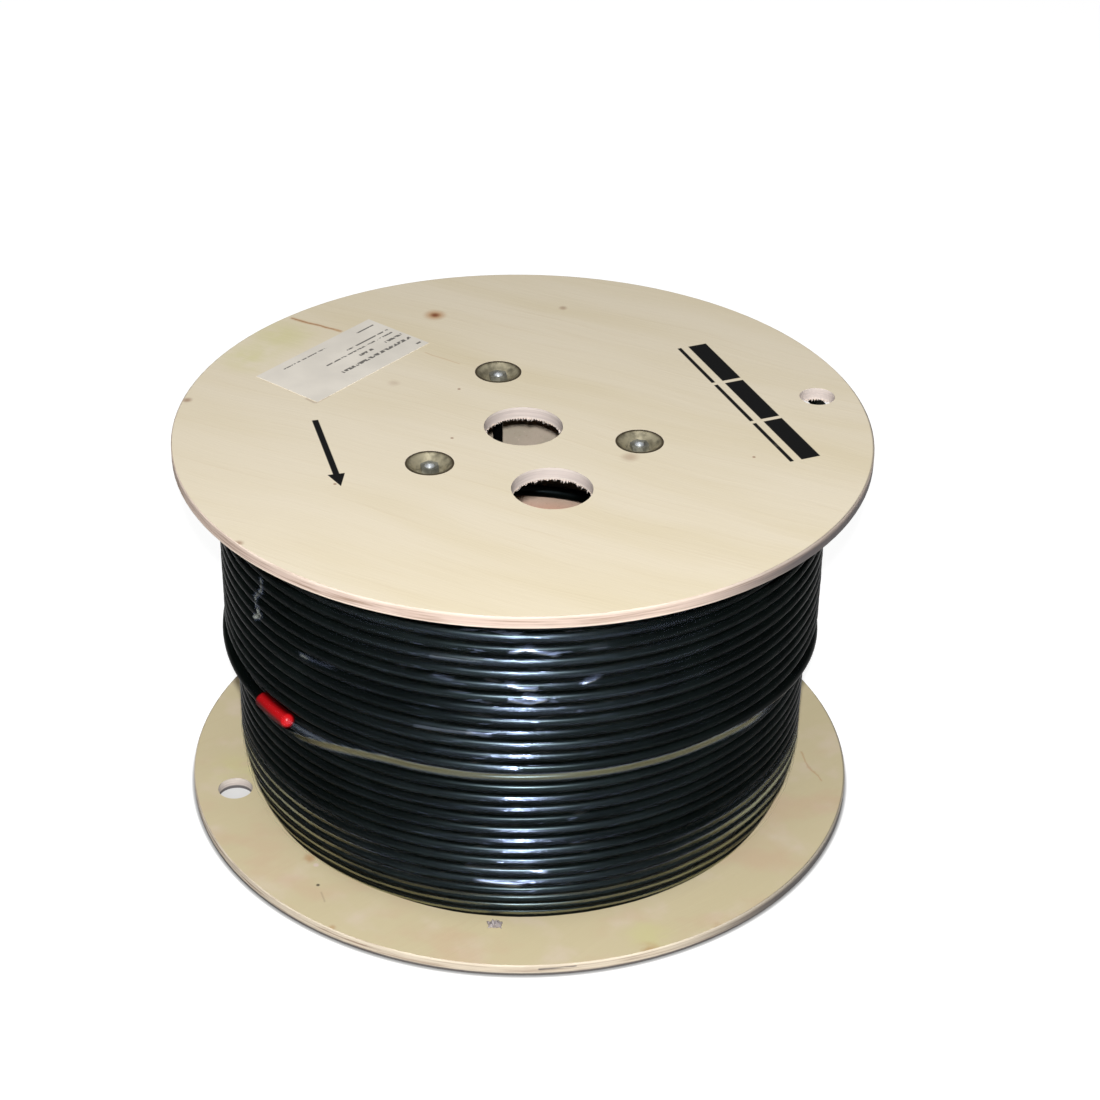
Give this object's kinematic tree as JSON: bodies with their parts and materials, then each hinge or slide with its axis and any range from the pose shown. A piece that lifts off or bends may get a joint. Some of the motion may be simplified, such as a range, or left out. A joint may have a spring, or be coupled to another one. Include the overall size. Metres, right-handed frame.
{
  "type": "wooden cable drum",
  "caption": "Plywood cable drum standing on its flange, wound full with black round cable under clear film, with an arbor hole, a drive hole and recessed tie bolts.",
  "frame": {"origin": "centre of the lower flange's outer face, on the drum's axis", "axes": "+Z along the drum's axis towards the upper flange; +X to the right of the picture's view and +Y away from it"},
  "size_m": [0.4059, 0.406, 0.2412],
  "materials": {
    "plywood": "sanded pale plywood, satin",
    "fibreboard": "matt grey-brown fibreboard",
    "zinc_steel": "dull zinc with a yellow cast",
    "cable_jacket": "black plastic jacket, satin",
    "red_plastic": "glossy red plastic",
    "clear_film": "clear glossy stretch film",
    "label_paper": "matt off-white label stock"
  },
  "bodies": {
    "root": {"bottom_flange": "plywood", "top_flange": "plywood", "barrel": "fibreboard", "tie_bolt_1": "zinc_steel", "tie_bolt_2": "zinc_steel", "tie_bolt_3": "zinc_steel", "tie_nut_1": "zinc_steel", "tie_nut_2": "zinc_steel", "tie_nut_3": "zinc_steel", "cup_washer_top_1": "zinc_steel", "cup_washer_top_2": "zinc_steel", "cup_washer_top_3": "zinc_steel", "cup_washer_bottom_1": "zinc_steel", "cup_washer_bottom_2": "zinc_steel", "cup_washer_bottom_3": "zinc_steel", "cable_winding": "cable_jacket", "cable_inner_end": "cable_jacket", "cable_outer_end": "cable_jacket", "cable_end_cap": "red_plastic", "film_wrap": "clear_film", "paper_label": "label_paper"}
  },
  "joints": []
}
